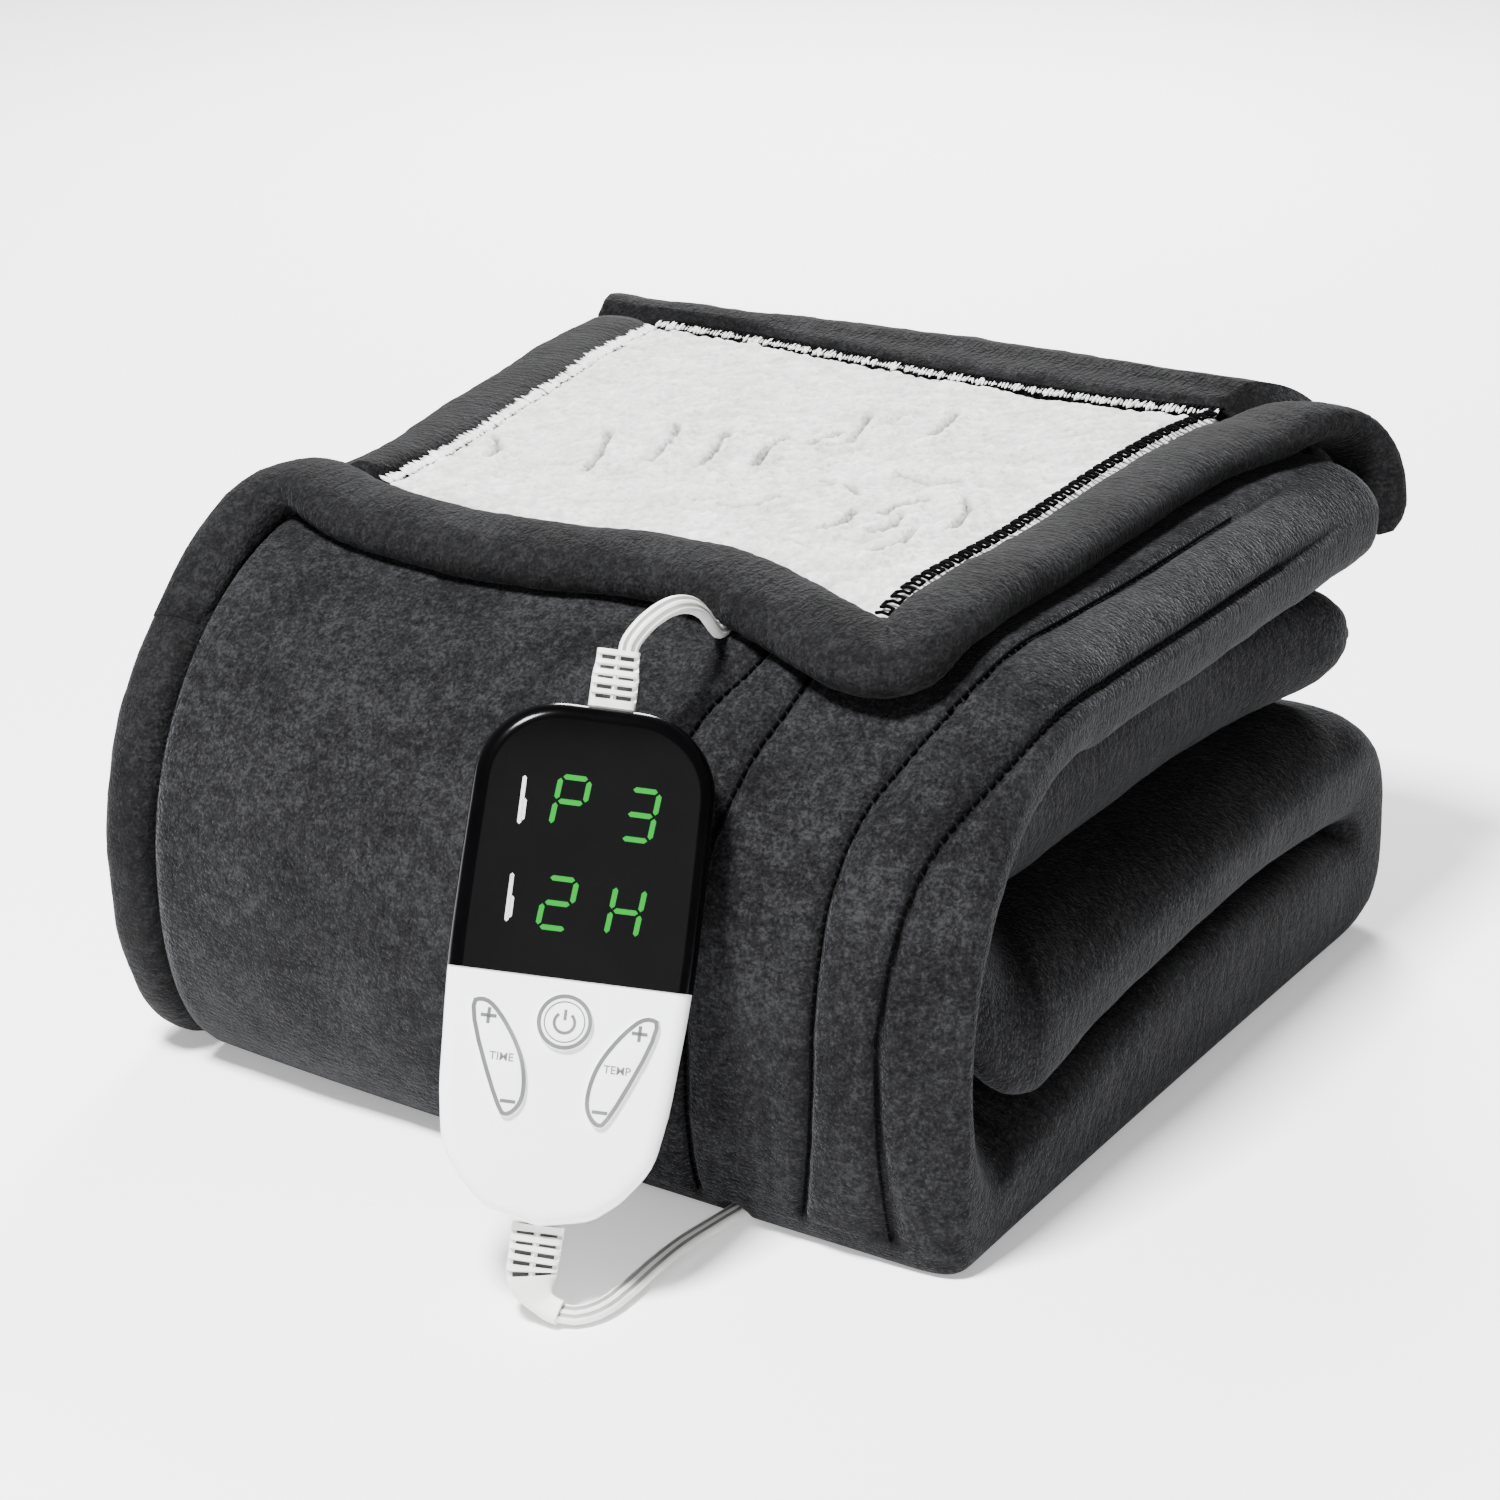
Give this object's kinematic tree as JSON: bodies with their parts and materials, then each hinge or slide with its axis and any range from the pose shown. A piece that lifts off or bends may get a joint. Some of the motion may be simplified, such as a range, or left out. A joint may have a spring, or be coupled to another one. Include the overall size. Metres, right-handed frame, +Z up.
{
  "type": "electric heated blanket",
  "caption": "Electric heated throw folded into a block with its sherpa side up, a hand controller standing at its front and the spare lead coiled behind.",
  "frame": {"origin": "the middle of the folded block's underside, on the surface it lies on", "axes": "+X along the front towards the folded right edge, +Y from the front fold to the back, +Z up"},
  "size_m": [0.2952, 0.4921, 0.1775],
  "materials": {
    "plush": "brushed pile",
    "binding": "brushed pile",
    "sherpa": "curled pile",
    "stitching": "matte thread",
    "white_case": "satin",
    "key_white": "satin",
    "key_mark": "printed",
    "display": "polished",
    "display_green": "lit",
    "lead_white": "satin",
    "pin_metal": "plated"
  },
  "bodies": {
    "blanket": {"plush_cloth": "plush", "binding_side": "binding", "binding_flap": "binding", "binding_left": "binding", "binding_back": "binding", "sherpa_panel": "sherpa", "controller_case": "white_case", "display_window": "display", "relief_upper": "lead_white", "relief_lower": "lead_white", "lead_upper": "lead_white", "lead_mains": "lead_white", "lead_coil": "lead_white", "lead_tail": "lead_white", "plug_relief": "lead_white", "mains_plug": "lead_white", "plug_pin_front": "pin_metal", "plug_pin_back": "pin_metal"},
    "power_key": {"power_key": "key_white"},
    "time_rocker": {"time_rocker": "key_white"},
    "temp_rocker": {"temp_rocker": "key_white"}
  },
  "joints": [
    {"name": "power_press", "type": "slide", "parent": "blanket", "child": "power_key", "axis": [-0.4972, 0.7656, -0.4083], "range_m": [0, 0.0008], "stiffness_N_per_m": 1500},
    {"name": "time_tilt", "type": "hinge", "parent": "blanket", "child": "time_rocker", "pos_m": [0.03884, -0.21145, 0.06973], "axis": [0.7826, 0.5989, 0.17], "range_deg": [-3, 3], "stiffness_Nm_per_rad": 0.4},
    {"name": "temp_tilt", "type": "hinge", "parent": "blanket", "child": "temp_rocker", "pos_m": [0.06391, -0.19721, 0.06589], "axis": [0.8471, 0.3266, -0.4191], "range_deg": [-3, 3], "stiffness_Nm_per_rad": 0.4}
  ]
}
